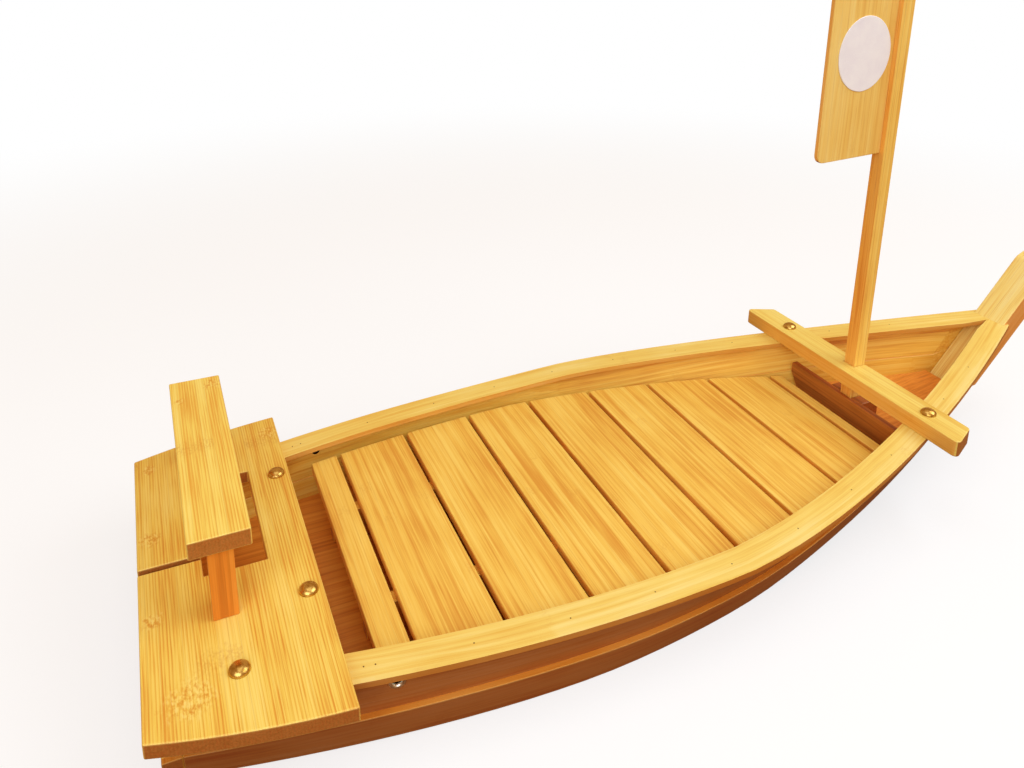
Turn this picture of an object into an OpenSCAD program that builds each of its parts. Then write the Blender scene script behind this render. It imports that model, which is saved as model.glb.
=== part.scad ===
// Boat shaped wooden serving platter with a stern deck, a bench, a mast with a sail
// and a loose slatted floor. The bow points along +X and the flat bottom lies on Z = 0.

/* [Hull] */
// Length from the stern edge of the deck to the tip of the prow
overall_len = 700; // [500:10:900]
// Distance that the prow reaches past the gunwale caps' bow ends
prow_len = 74; // [50:1:110]
// Height of the underside of the stern deck above the table
sheer_h = 44; // [38:1:60]
// Rise of the gunwale from the stern to its tip at the bow
sheer_rise = 34; // [15:1:60]
// Start of that rise, as a share of the length from the deck to the caps' bow ends
sheer_start_share = 0.167; // [0.05:0.001:0.3]
// Thickness of the bottom board
bottom_t = 8; // [4:0.5:12]
// Height that the bottom climbs to at the foot of the stem
bow_lift = 30; // [10:1:40]
// Start of the climb, as a share of the length from the deck to the caps' bow ends
lift_start_share = 0.398; // [0.3:0.001:0.5]
// Length over which the flat bottom blends into the climb
lift_blend_len = 50; // [10:5:100]
// Height of the lower strakes
lower_strake_h = 20; // [12:1:26]
// Thickness of the lower strakes
lower_strake_t = 11; // [8:0.5:14]
// Width of the ledge that the lower strake shows outside the upper one
ledge_w = 3.5; // [1:0.5:5]
// Thickness of the upper strakes
upper_strake_t = 7; // [4:0.5:9]
// Thickness of the transom board
transom_t = 9; // [5:0.5:14]
// Distance that the deck reaches past the transom
deck_overhang = 5; // [1:1:15]

/* [Hull lines] */
// Half breadth over the gunwale caps at the widest station
cap_half = 118; // [90:0.5:140]
// Place of that station, as a share of the length from the deck to the caps' bow ends
cap_widest_share = 0.385; // [0.3:0.005:0.45]
// Half breadth over the gunwale caps at the stern
cap_stern_half = 84; // [70:1:100]
// Power of the gunwale caps' curve in plan, from the widest station to the stern
cap_aft_power = 2.2; // [1.6:0.05:2.6]
// Power of that curve from the widest station to the bow
cap_fore_power = 1.5; // [1.3:0.05:2]
// Half breadth of the upper strakes' lower edges at their widest
chine_half = 107.5; // [85:0.5:120]
// Place of that station, as a share of the same length
chine_widest_share = 0.267; // [0.15:0.001:0.4]
// Half breadth of the upper strakes' lower edges at the stern
chine_stern_half = 82; // [65:1:95]
// Half breadth over the lower strakes' bottom edges at their widest
bottom_half = 105.5; // [80:0.5:118]
// Place of that station, as a share of the same length
bottom_widest_share = 0.241; // [0.15:0.001:0.4]
// Half breadth over the lower strakes' bottom edges at the stern
bottom_stern_half = 78; // [60:1:90]

/* [Gunwale caps] */
// Width of a gunwale cap
cap_w = 18; // [12:0.5:24]
// Thickness of a gunwale cap
cap_t = 3.2; // [2.8:0.1:6]
// Distance that a cap reaches outside its strake, from the stern to the widest station
cap_lip = 4; // [1:0.5:6]
// Distance that the caps stand out past the stem's sides at their bow ends
cap_lap = 1.5; // [0:0.5:4]

/* [Stem] */
// Width of the stem post
stem_w = 26; // [16:1:34]
// Length of the stem post's foot along the keel
stem_foot = 24.5; // [16:0.5:32]
// Rake of the stem post above the horizontal, in degrees
stem_rake = 48.2; // [40:0.2:60]
// Height of the bend in the stem post's top edge above its foot
stem_bend_h = 93; // [60:1:120]
// Slope of the prow's top edge past the bend, in degrees
prow_slope = 23.5; // [10:0.5:35]
// Radius of the bend
stem_bend_r = 14; // [4:1:30]

/* [Stern deck] */
// Length of the deck
deck_len = 86; // [60:1:120]
// Breadth of the deck at its front edge
deck_front_w = 240; // [200:1:280]
// Breadth of the deck at its stern edge
deck_stern_w = 204; // [170:1:240]
// Bulge of the deck's sides past a straight line
deck_bulge = 2.3; // [0:0.1:6]
// Thickness of the deck
deck_t = 8; // [5:0.5:14]
// Length of the deck's opening, along the boat
hole_len = 32; // [20:1:40]
// Width of the deck's opening, across the boat
hole_w = 80; // [50:1:90]
// Distance from the deck's front edge to the opening
hole_front = 23; // [14:1:34]
// Distance from the boat's centreline to the middle of the opening and of the bench
hole_off_y = 26; // [0:1:32]
// Width of the slot from the stern edge to the opening
slot_w = 3.5; // [2:0.5:8]
// Distance from the boat's centreline to the slot
slot_y = 1; // [-10:0.5:20]

/* [Bench] */
// Length of the bench board, across the boat
bench_len = 151; // [120:1:160]
// Width of the bench board
bench_w = 29; // [20:1:36]
// Thickness of the bench board
bench_t = 9.5; // [6:0.5:14]
// Side of a square bench leg
leg_w = 12; // [8:0.5:16]
// Height of a bench leg
leg_h = 39.5; // [25:0.5:60]
// Distance between the outer faces of the two legs
leg_span = 146; // [120:1:150]
// Distance from the deck's front edge to the middle of the bench
bench_back = 47; // [36:1:56]

/* [Crossbeam and bulkhead] */
// Place of the crossbeam's stern edge, as a share of the length from the deck to the caps' bow ends
beam_share = 0.7046; // [0.6:0.001:0.8]
// Width of the crossbeam
beam_w = 21.2; // [16:0.2:30]
// Thickness of the crossbeam
beam_t = 11; // [7:0.5:16]
// Length of the crossbeam's stern edge
beam_aft_len = 205; // [180:1:230]
// Length of the crossbeam's bow edge
beam_fore_len = 186; // [160:1:220]
// Radius of the crossbeam's corners
beam_corner_r = 3; // [1:0.5:5]
// Distance from the crossbeam's stern edge to the fore bulkhead's
bulkhead_set = 7.5; // [2:0.5:9]
// Thickness of the fore bulkhead
bulkhead_t = 5; // [4:0.5:10]
// Height of the fore bulkhead's top above the table
bulkhead_top = 44; // [40:1:48]

/* [Mast and sail] */
// Side of the square mast
mast_w = 10; // [6:0.5:14]
// Height of the mast's top above the table
mast_top = 380; // [300:5:460]
// Depth of the socket that the mast stands in
socket_d = 3; // [1:0.5:6]
// Length of the mast step block
step_len = 16; // [12:1:24]
// Width of the mast step block
step_w = 30; // [18:1:40]
// Width of the sail board
sail_w = 61; // [54:1:80]
// Height of the sail board
sail_h = 143; // [100:1:200]
// Height of the sail board's lower edge above the table
sail_z = 228.5; // [180:0.5:260]
// Thickness of the sail board
sail_t = 3; // [2:0.5:5]
// Turn of the sail board about the mast, with its stern edge to the near side, in degrees
sail_turn = 6; // [0:0.5:10]
// Radius of the sail board's corners away from the mast
sail_corner_r = 6; // [1:0.5:15]
// Diameter of the blank disc on the sail
disc_d = 48.5; // [20:0.5:50]
// Thickness of the disc
disc_t = 0.5; // [0.3:0.1:1]
// Height of the disc's middle above the sail's lower edge
disc_up = 69; // [40:1:100]
// Distance from the sail's edge at the mast to the disc's middle
disc_back = 28; // [26:0.5:29]

/* [Floor grid] */
// Number of slats
slat_count = 9; // [6:1:12]
// Width of the first slat, at the stern, as a share of a middle slat's
first_slat_share = 0.38; // [0.3:0.01:1]
// Width of the last slat, at the bow, as a share of a middle slat's
last_slat_share = 0.19; // [0.15:0.01:1]
// Gap between slats
slat_gap = 3; // [2:0.5:8]
// Thickness of a slat
slat_t = 6; // [4:0.5:10]
// Height of the slats' top above the table
floor_top = 34; // [28:1:36]
// Distance from the deck's front edge to the first slat
floor_start_x = 18; // [4:1:20]
// Distance from the last slat to the crossbeam's stern edge
floor_end_gap = 1.5; // [1:0.5:10]
// Width of a runner under the slats
runner_w = 8; // [5:0.5:14]
// Distance between the middles of the two runners
runner_span = 80; // [50:2:100]
// Distance that the runners stop short of the outer slats' edges
runner_inset = 3; // [2:1:6]

/* [Metal fittings] */
// Diameter of a domed brass head
dome_d = 10; // [6:0.5:14]
// Height of a domed brass head
dome_h = 3.2; // [2:0.2:5]
// Distance from the deck's front edge to its two front heads
dome_front = 7.5; // [6:0.5:12]
// Distance between the two front heads
dome_front_span = 101; // [60:1:160]
// Middle of the two front heads off the centreline
dome_front_off_y = 6; // [-10:1:10]
// Distance from the deck's front edge to its two rear heads
dome_rear = 45; // [30:1:60]
// Distance from the centreline to the near rear head
dome_rear_near = 80; // [70:1:95]
// Distance from the centreline to the far rear head
dome_rear_far = 76.5; // [70:0.5:80]
// Distance from the centreline to the crossbeam's near head
dome_beam_near = 70; // [40:0.5:85]
// Distance from the centreline to the crossbeam's far head
dome_beam_far = 62.5; // [40:0.5:85]
// Distance from the deck's front edge to the eyelets in the upper strakes
eyelet_x = 21.8; // [10:0.2:60]
// Gap between the gunwale caps and the eyelets under them
eyelet_drop = 0.2; // [0.1:0.1:2]
// Diameter of an eyelet's bore
eyelet_bore = 4.5; // [2:0.5:6]
// Diameter of an eyelet's flange
eyelet_flange = 8.4; // [6:0.2:10]
// Height of an eyelet's flange
eyelet_rim_t = 0.6; // [0.4:0.1:1]
// Wall of an eyelet's barrel
eyelet_wall = 0.5; // [0.3:0.1:1]

/* [Clearances] */
// Running clearance around the mast
mast_clear = 0.3; // [0.2:0.05:0.6]
// Clearance under the floor grid and under the mast's foot
seat_clear = 0.2; // [0.1:0.05:0.5]
// Clearance of the floor grid inside the strakes and caps
floor_clear = 1.5; // [0.5:0.1:4]
// Clearance of boards fitted between the strakes
board_clear = 0.5; // [0.3:0.1:1]
// Clearance of an eyelet's barrel in its hole
eyelet_clear = 0.1; // [0.05:0.05:0.3]
// Thickness left at the strakes' feathered ends on the stem
feather_t = 1; // [0.5:0.1:2]

/* [Hidden] */

$fn = 48;
stations = 36;
fillet_steps = 6;
cut_over = 1;

// The planks' curves in plan are powers of the distance from the widest station
line_power = 1.77;

deck_top = sheer_h + deck_t;
hull_stern_x = -(deck_len - deck_overhang - transom_t);
bow_reach = overall_len - deck_len;
mid_x = (bow_reach - deck_len) / 2;

// The caps end where the prow starts, and the stations are shares of that length
cap_end_x = bow_reach - prow_len;
sheer_start_x = cap_end_x * sheer_start_share;
lift_start_x = cap_end_x * lift_start_share;
cap_widest_x = cap_end_x * cap_widest_share;
chine_widest_x = cap_end_x * chine_widest_share;
bottom_widest_x = cap_end_x * bottom_widest_share;
beam_x = cap_end_x * beam_share;
bulkhead_x = beam_x + bulkhead_set;

// The bottom climbs at one slope past its blend, to the stem's foot
stem_front_x = cap_end_x - stem_foot;
lift_mid_x = lift_start_x + lift_blend_len / 2;
lift_slope = bow_lift / (stem_front_x - lift_mid_x);
stem_back_x = stem_front_x - stem_foot;

// Where the hull's lines meet the side of the stem, as shares of its foot
bottom_end_share = 0.5;
chine_end_share = 0.9;
line_end_half = stem_w / 2 + feather_t;
bottom_end_x = stem_back_x + stem_foot * bottom_end_share;
chine_end_x = stem_back_x + stem_foot * chine_end_share;

mast_x = beam_x + beam_w - mast_w / 2;
step_x = bulkhead_x + bulkhead_t;
beam_z = cap_top(beam_x);

floor_end_x = beam_x - floor_end_gap;
// All slats but the two outer ones are equally wide
inner_slats = slat_count - 2;
slats_len = floor_end_x - floor_start_x - slat_gap * (slat_count - 1);
slat_w = slats_len / (inner_slats + first_slat_share + last_slat_share);
first_slat_w = slat_w * first_slat_share;
last_slat_w = slat_w * last_slat_share;
second_slat_x = floor_start_x + first_slat_w + slat_gap;
hole_x = -hole_front - hole_len;

wood_light = "#F3CE70";
wood_deck = "#F0C468";
wood_side = "#D89445";
wood_floor = "#E5B25C";
brass = "#C9A052";

// The upper strakes' top edges end where the stem's back comes up through the caps
upper_end_z = sheer_h + sheer_rise - cap_t;
upper_end_x = stem_back_x + (upper_end_z - bottom_z(stem_back_x)) / tan(stem_rake);

// Half breadth of a hull line at x
function line_half(x, widest, widest_x, stern, bow, bow_x,
        aft_power = line_power, fore_power = line_power) =
    x < widest_x
    ? widest - (widest - stern) * pow((widest_x - x) / (widest_x - hull_stern_x), aft_power)
    : widest - (widest - bow) * pow((x - widest_x) / (bow_x - widest_x), fore_power);

function cap_line(x) =
    line_half(x, cap_half, cap_widest_x, cap_stern_half, stem_w / 2 + cap_lap, cap_end_x,
        cap_aft_power, cap_fore_power);
function chine_line(x) =
    line_half(x, chine_half, chine_widest_x, chine_stern_half, line_end_half, chine_end_x);
function bottom_line(x) =
    line_half(x, bottom_half, bottom_widest_x, bottom_stern_half, line_end_half, bottom_end_x);
// The upper strakes' top edges, under the caps
function upper_line(x) =
    line_half(x, cap_half - cap_lip, cap_widest_x, cap_stern_half - cap_lip,
        line_end_half, upper_end_x, cap_aft_power, cap_fore_power);

// Stretch across the boat of a plank's thickness, from the slope of its line
slope_step = cap_w;
function across(a, b) = sqrt(1 + pow((a - b) / slope_step, 2));
function cap_across(x) = across(cap_line(x), cap_line(x + slope_step));
function upper_across(x) = across(upper_line(x), upper_line(x - slope_step));
function chine_across(x) = across(chine_line(x), chine_line(x - slope_step));
function bottom_across(x) = across(bottom_line(x), bottom_line(x - slope_step));

function cap_top(x) =
    sheer_h + sheer_rise * pow(max(0, x - sheer_start_x) / (cap_end_x - sheer_start_x), 2);
function bottom_z(x) =
    x <= lift_start_x ? 0
    : x >= lift_start_x + lift_blend_len ? lift_slope * (x - lift_mid_x)
    : lift_slope * pow(x - lift_start_x, 2) / (2 * lift_blend_len);
function chine_z(x) = bottom_z(x) + lower_strake_h;

// Inner faces of the planks, stopped at the side of the stem
function not_in_stem(y) = max(y, stem_w / 2);
function cap_inner(x) = max(0, cap_line(x) - cap_w * cap_across(x));
function upper_inner_low(x) = not_in_stem(chine_line(x) - upper_strake_t * chine_across(x));
function lower_inner_top(x) =
    not_in_stem(chine_line(x) + ledge_w - lower_strake_t * chine_across(x));
function lower_inner_low(x) = not_in_stem(bottom_line(x) - lower_strake_t * bottom_across(x));

// Where the lower strakes' inner faces come to the side of the stem, found by halving
halvings = 20;
function meets_stem(low, high, left = halvings) =
    let (middle = (low + high) / 2)
    left == 0 ? middle
    : lower_inner_low(middle) > stem_w / 2 ? meets_stem(middle, high, left - 1)
    : meets_stem(low, middle, left - 1);
board_narrow_x = meets_stem(bottom_widest_x, stem_back_x - bottom_t);

// Stations run from the stern to the place where each edge meets the stem
function station_x(i, end_x) = hull_stern_x + (end_x - hull_stern_x) * i / stations;

// The upper strake's outer face at x and height z, and its lean from the vertical at x
function upper_rise(x) = cap_top(x) - cap_t - chine_z(x);
function upper_spread(x) = upper_line(x) - chine_line(x);
function upper_face(x, z) = chine_line(x) + upper_spread(x) * (z - chine_z(x)) / upper_rise(x);
eyelet_lean = atan(upper_spread(eyelet_x) / upper_rise(eyelet_x));
eyelet_depth = upper_strake_t * cos(eyelet_lean);
eyelet_barrel = eyelet_bore + 2 * eyelet_wall;
// Either the flange or the barrel's inner end comes nearest to the cap
eyelet_rise = max(
    eyelet_flange / 2 * cos(eyelet_lean),
    eyelet_barrel / 2 * cos(eyelet_lean) + eyelet_depth * sin(eyelet_lean));
eyelet_z = cap_top(eyelet_x) - cap_t - eyelet_drop - eyelet_rise;

// Solid through a list of four sided sections, each listed the same way round
module loft(sections) {
    count = len(sections);
    last = 4 * (count - 1);
    sides = [for (i = [0:count - 2], k = [0:3], half = [0, 1])
        let (a = 4 * i + k, b = a + 4, c = 4 * i + 4 + (k + 1) % 4, d = 4 * i + (k + 1) % 4)
        half == 0 ? [a, b, c] : [a, c, d]];
    polyhedron(
        points = [for (s = sections, p = s) p],
        faces = concat([[0, 1, 2, 3]], sides, [[last + 3, last + 2, last + 1, last]]),
        convexity = 4);
}

module near_side() {
    mirror([0, 1, 0]) children();
}

// Moves the boat so that the middle of its length is on the origin
module placed(colour) {
    color(colour) translate([-mid_x, 0, 0]) children();
}

module stem_solid() {
    bend_x = stem_back_x + stem_bend_h / tan(stem_rake);
    foot_z = bottom_z(stem_back_x);
    bend_z = foot_z + stem_bend_h;
    tip_z = bend_z + (bow_reach - bend_x) * tan(prow_slope);
    cut_back = stem_bend_r * tan((stem_rake - prow_slope) / 2);
    arc_x = bend_x - cut_back * cos(stem_rake) + stem_bend_r * sin(stem_rake);
    arc_z = bend_z - cut_back * sin(stem_rake) - stem_bend_r * cos(stem_rake);
    bend = [for (i = [0:fillet_steps])
        let (a = 90 + stem_rake + (prow_slope - stem_rake) * i / fillet_steps)
        [arc_x + stem_bend_r * cos(a), arc_z + stem_bend_r * sin(a)]];
    rotate([90, 0, 0])
        linear_extrude(height = stem_w, center = true)
            polygon(concat(
                [[stem_front_x, bottom_z(stem_front_x)], [stem_back_x, foot_z]],
                bend,
                [[bow_reach, tip_z]]));
}

module bottom_board_solid() {
    narrowing = [for (i = [0:stations]) station_x(i, board_narrow_x)];
    loft([for (x = concat(narrowing, [stem_back_x - board_clear]))
        let (y = lower_inner_low(x) - board_clear,
            low = bottom_z(x),
            top = low + bottom_t)
        [[x, y, low], [x, y, top], [x, -y, top], [x, -y, low]]]);
}

module lower_strake_solid() {
    loft([for (i = [0:stations])
        let (low_x = station_x(i, bottom_end_x),
            top_x = station_x(i, chine_end_x),
            low = bottom_z(low_x),
            top = chine_z(top_x))
        [[low_x, bottom_line(low_x), low],
            [top_x, chine_line(top_x) + ledge_w, top],
            [top_x, lower_inner_top(top_x), top],
            [low_x, lower_inner_low(low_x), low]]]);
}

module upper_strake_body() {
    loft([for (i = [0:stations])
        let (low_x = station_x(i, chine_end_x),
            top_x = station_x(i, upper_end_x),
            low = chine_z(low_x),
            top = cap_top(top_x) - cap_t,
            top_y = upper_line(top_x))
        [[low_x, chine_line(low_x), low],
            [top_x, top_y, top],
            [top_x, not_in_stem(top_y - upper_strake_t * upper_across(top_x)), top],
            [low_x, upper_inner_low(low_x), low]]]);
}

// Puts its children on the strake's outer face at the eyelet, facing out along Z
module at_eyelet() {
    before = upper_face(eyelet_x - slope_step / 2, eyelet_z);
    after = upper_face(eyelet_x + slope_step / 2, eyelet_z);
    translate([eyelet_x, upper_face(eyelet_x, eyelet_z), eyelet_z])
        rotate([0, 0, atan((after - before) / slope_step)])
            rotate([-90 - eyelet_lean, 0, 0])
                children();
}

module upper_strake_solid() {
    difference() {
        upper_strake_body();
        at_eyelet() {
            translate([0, 0, -2 * upper_strake_t])
                cylinder(h = 3 * upper_strake_t, d = eyelet_barrel + 2 * eyelet_clear);
            // Flat seat under the flange
            translate([0, 0, eyelet_clear / 2])
                cylinder(h = upper_strake_t, d = eyelet_flange + 2 * eyelet_clear);
        }
    }
}

module eyelet_solid() {
    bore_r = eyelet_bore / 2;
    at_eyelet()
        rotate_extrude()
            polygon([[bore_r, -eyelet_depth],
                [bore_r + eyelet_wall, -eyelet_depth],
                [bore_r + eyelet_wall, eyelet_clear],
                [eyelet_flange / 2, eyelet_clear],
                [eyelet_flange / 2, eyelet_clear + eyelet_rim_t],
                [bore_r, eyelet_clear + eyelet_rim_t]]);
}

module gunwale_cap_solid() {
    strake_xs = [for (i = [0:stations]) station_x(i, upper_end_x)];
    xs = concat([hull_stern_x - transom_t], strake_xs, [cap_end_x]);
    difference() {
        loft([for (x = xs)
            let (top = cap_top(x), low = top - cap_t, outer = cap_line(x), inner = cap_inner(x))
            [[x, outer, low], [x, outer, top], [x, inner, top], [x, inner, low]]]);
        stem_solid();
        translate([beam_x, 0, beam_z])
            cube([beam_w, cap_half, beam_t]);
    }
}

module transom_solid() {
    x = hull_stern_x;
    shoulder = cap_inner(x - transom_t) - board_clear;
    under_cap = sheer_h - cap_t;
    side = [[bottom_line(x), 0],
        [chine_line(x) + ledge_w, lower_strake_h],
        [chine_line(x), lower_strake_h],
        [upper_line(x), under_cap],
        [shoulder, under_cap],
        [shoulder, sheer_h]];
    other = [for (i = [len(side) - 1:-1:0]) [-side[i][0], side[i][1]]];
    translate([x, 0, 0])
        rotate([90, 0, -90])
            linear_extrude(height = transom_t)
                polygon(concat(side, other));
}

module deck_outline() {
    steps = 8;
    side = [for (i = [0:steps])
        let (s = i / steps, half = deck_front_w / 2 + (deck_stern_w - deck_front_w) / 2 * s)
        [-deck_len * s, half + 4 * deck_bulge * s * (1 - s)]];
    other = [for (i = [steps:-1:0]) [side[i][0], -side[i][1]]];
    polygon(concat(side, other));
}

module stern_deck_solid() {
    translate([0, 0, sheer_h])
        difference() {
            linear_extrude(height = deck_t) deck_outline();
            translate([hole_x, hole_off_y - hole_w / 2, -cut_over])
                cube([hole_len, hole_w, deck_t + 2 * cut_over]);
            translate([-deck_len - cut_over, slot_y - slot_w / 2, -cut_over])
                cube([deck_len + hole_x + 2 * cut_over, slot_w, deck_t + 2 * cut_over]);
        }
}

module bench_leg_solid(side) {
    y = hole_off_y + side * (leg_span - leg_w) / 2;
    translate([-bench_back - leg_w / 2, y - leg_w / 2, deck_top])
        cube([leg_w, leg_w, leg_h]);
}

module bench_board_solid() {
    translate([-bench_back - bench_w / 2, hole_off_y - bench_len / 2, deck_top + leg_h])
        cube([bench_w, bench_len, bench_t]);
}

// The shape of the mast's foot, also cut out of what the mast stands in
module mast_block(clear, low, high) {
    side = mast_w + 2 * clear;
    translate([mast_x - side / 2, -side / 2, low])
        cube([side, side, high - low]);
}

module fore_bulkhead_solid() {
    x = bulkhead_x + bulkhead_t;
    low = bottom_z(x) + bottom_t;
    low_half = lower_inner_low(x) - board_clear;
    chine = chine_z(x);
    top_half = lower_inner_top(x) - board_clear;
    difference() {
        translate([bulkhead_x, 0, 0])
            rotate([90, 0, 90])
                linear_extrude(height = bulkhead_t)
                    polygon([[-low_half, low], [low_half, low], [top_half, chine],
                        [top_half, bulkhead_top], [-top_half, bulkhead_top], [-top_half, chine]]);
        mast_block(mast_clear, bulkhead_top - socket_d, bulkhead_top + cut_over);
    }
}

module mast_step_solid() {
    low = bottom_z(step_x + step_len) + bottom_t;
    difference() {
        translate([step_x, -step_w / 2, low])
            cube([step_len, step_w, bulkhead_top - low]);
        mast_block(mast_clear, bulkhead_top - socket_d, bulkhead_top + cut_over);
    }
}

// Corner arc of a plan outline, from one edge's direction to the next
function corner_arc(c, r, from, to) =
    [for (i = [0:fillet_steps])
        let (a = from + (to - from) * i / fillet_steps)
        [c[0] + r * cos(a), c[1] + r * sin(a)]];

module crossbeam_solid() {
    r = beam_corner_r;
    aft = beam_aft_len / 2;
    fore = beam_fore_len / 2;
    end_turn = atan((aft - fore) / beam_w);
    // Centres of the corner arcs, each one radius inside the two edges it joins
    slant = r / cos(end_turn);
    aft_y = aft - slant - r * tan(end_turn);
    fore_y = fore - slant + r * tan(end_turn);
    aft_arc = corner_arc([r, aft_y], r, 180, 90 - end_turn);
    fore_arc = corner_arc([beam_w - r, fore_y], r, 90 - end_turn, 0);
    side = concat(aft_arc, fore_arc);
    other = [for (i = [len(side) - 1:-1:0]) [side[i][0], -side[i][1]]];
    difference() {
        translate([beam_x, 0, beam_z])
            linear_extrude(height = beam_t)
                polygon(concat(side, other));
        mast_block(mast_clear, beam_z - cut_over, beam_z + beam_t + cut_over);
    }
}

module slat_solid(number) {
    x = number == 1 ? floor_start_x : second_slat_x + (number - 2) * (slat_w + slat_gap);
    width = number == 1 ? first_slat_w : number == slat_count ? last_slat_w : slat_w;
    low = floor_top - slat_t;
    // The slat stays inside the caps, so that the grid lifts out, and inside the strakes
    function grid_half(x) =
        min(cap_inner(x), upper_inner_low(x), lower_inner_top(x), inside_lower(x)) - floor_clear;
    function inside_lower(x) =
        let (share = max(0, min(1, (low - bottom_z(x)) / lower_strake_h)))
        lower_inner_low(x) + (lower_inner_top(x) - lower_inner_low(x)) * share;
    steps = 4;
    side = [for (i = [0:steps])
        let (px = x + width * i / steps)
        [px, grid_half(px)]];
    other = [for (i = [steps:-1:0]) [side[i][0], -side[i][1]]];
    translate([0, 0, low])
        linear_extrude(height = slat_t)
            polygon(concat(side, other));
}

module grid_runner_solid() {
    from_x = floor_start_x + runner_inset;
    to_x = floor_end_x - runner_inset;
    top = floor_top - slat_t;
    steps = 24;
    low_edge = [for (i = [0:steps])
        let (x = from_x + (to_x - from_x) * i / steps)
        [x, bottom_z(x) + bottom_t + seat_clear]];
    translate([0, runner_span / 2 + runner_w / 2, 0])
        rotate([90, 0, 0])
            linear_extrude(height = runner_w)
                polygon(concat(low_edge, [[to_x, top], [from_x, top]]));
}

// Turns what is drawn on the sail about the upright line where its near face meets the mast
module on_sail() {
    translate([mast_x - mast_w / 2, -sail_t / 2, sail_z])
        rotate([0, 0, sail_turn])
            children();
}

module sail_solid() {
    r = sail_corner_r;
    low_corner = corner_arc([r - sail_w, r], r, 270, 180);
    high_corner = corner_arc([r - sail_w, sail_h - r], r, 180, 90);
    // The board runs on into the mast and is cut along the mast's face
    difference() {
        on_sail()
            translate([0, sail_t, 0])
                rotate([90, 0, 0])
                    linear_extrude(height = sail_t)
                        polygon(concat([[sail_t, 0]], low_corner, high_corner,
                            [[sail_t, sail_h]]));
        mast_block(0, sail_z - cut_over, sail_z + sail_h + cut_over);
    }
}

module dome_at(x, y, z) {
    ball_r = (pow(dome_d / 2, 2) + pow(dome_h, 2)) / (2 * dome_h);
    translate([x, y, z])
        rotate_extrude()
            intersection() {
                translate([0, dome_h - ball_r]) circle(r = ball_r);
                square([dome_d / 2, dome_h]);
            }
}

module bottom_board() {
    placed(wood_floor) bottom_board_solid();
}

module lower_strake_near() {
    placed(wood_side) near_side() lower_strake_solid();
}

module lower_strake_far() {
    placed(wood_side) lower_strake_solid();
}

module upper_strake_near() {
    placed(wood_side) near_side() upper_strake_solid();
}

module upper_strake_far() {
    placed(wood_side) upper_strake_solid();
}

module gunwale_cap_near() {
    placed(wood_light) near_side() gunwale_cap_solid();
}

module gunwale_cap_far() {
    placed(wood_light) gunwale_cap_solid();
}

module transom() {
    placed(wood_side) transom_solid();
}

module stern_deck() {
    placed(wood_deck) stern_deck_solid();
}

module bench_board() {
    placed(wood_deck) bench_board_solid();
}

module bench_leg_near() {
    placed(wood_side) bench_leg_solid(-1);
}

module bench_leg_far() {
    placed(wood_side) bench_leg_solid(1);
}

module fore_bulkhead() {
    placed(wood_side) fore_bulkhead_solid();
}

module mast_step() {
    placed(wood_side) mast_step_solid();
}

module crossbeam() {
    placed(wood_light) crossbeam_solid();
}

module stem_post() {
    placed(wood_light) stem_solid();
}

module slat(number) {
    placed(wood_floor) slat_solid(number);
}

module grid_runner_near() {
    placed(wood_side) near_side() grid_runner_solid();
}

module grid_runner_far() {
    placed(wood_side) grid_runner_solid();
}

module mast() {
    placed(wood_deck) mast_block(0, bulkhead_top - socket_d + seat_clear, mast_top);
}

module sail() {
    placed(wood_deck) sail_solid();
}

module sail_disc() {
    placed("ivory")
        on_sail()
            translate([-disc_back, 0, disc_up])
                rotate([90, 0, 0])
                    cylinder(h = disc_t, d = disc_d);
}

module deck_domes() {
    placed(brass) {
        dome_at(-dome_front, dome_front_off_y + dome_front_span / 2, deck_top);
        dome_at(-dome_front, dome_front_off_y - dome_front_span / 2, deck_top);
        dome_at(-dome_rear, -dome_rear_near, deck_top);
        dome_at(-dome_rear, dome_rear_far, deck_top);
    }
}

module beam_domes() {
    placed(brass)
        for (y = [-dome_beam_near, dome_beam_far])
            dome_at(beam_x + beam_w / 2, y, beam_z + beam_t);
}

module eyelets() {
    placed(brass) {
        eyelet_solid();
        near_side() eyelet_solid();
    }
}

bottom_board();
lower_strake_near();
lower_strake_far();
upper_strake_near();
upper_strake_far();
gunwale_cap_near();
gunwale_cap_far();
transom();
stern_deck();
bench_board();
bench_leg_near();
bench_leg_far();
fore_bulkhead();
mast_step();
crossbeam();
stem_post();
for (number = [1:slat_count])
    slat(number);
grid_runner_near();
grid_runner_far();
mast();
sail();
sail_disc();
deck_domes();
beam_domes();
eyelets();
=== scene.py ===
"""Looks of a bamboo serving boat: eased boards, bamboo grain, brass heads, brads and eyelets."""
import math

import bmesh
import bpy
import numpy as np
from mathutils import Matrix
from mathutils.bvhtree import BVHTree


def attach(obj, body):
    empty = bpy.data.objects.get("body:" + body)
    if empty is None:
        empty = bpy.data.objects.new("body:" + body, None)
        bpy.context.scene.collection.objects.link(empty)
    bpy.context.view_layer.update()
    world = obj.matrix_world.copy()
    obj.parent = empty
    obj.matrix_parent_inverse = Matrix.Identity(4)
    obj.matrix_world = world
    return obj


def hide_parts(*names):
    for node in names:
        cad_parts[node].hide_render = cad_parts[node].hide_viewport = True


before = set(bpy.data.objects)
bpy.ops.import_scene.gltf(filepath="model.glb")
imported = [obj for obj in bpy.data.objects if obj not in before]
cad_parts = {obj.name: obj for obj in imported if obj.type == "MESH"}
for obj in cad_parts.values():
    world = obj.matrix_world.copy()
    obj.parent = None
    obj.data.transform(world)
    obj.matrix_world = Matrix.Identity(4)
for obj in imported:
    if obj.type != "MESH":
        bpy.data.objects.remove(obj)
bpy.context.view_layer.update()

# Bottom board, strakes and transom
# Planks of bamboo bent to the hull's lines, glued and pinned edge to edge, their outer faces
# darkened to caramel with painted shade. The lower strake is the thicker one and leaves a
# ledge outside the upper strake. The bottom board is planed to the slope of the strakes,
# with a thin line of glue between.

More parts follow.
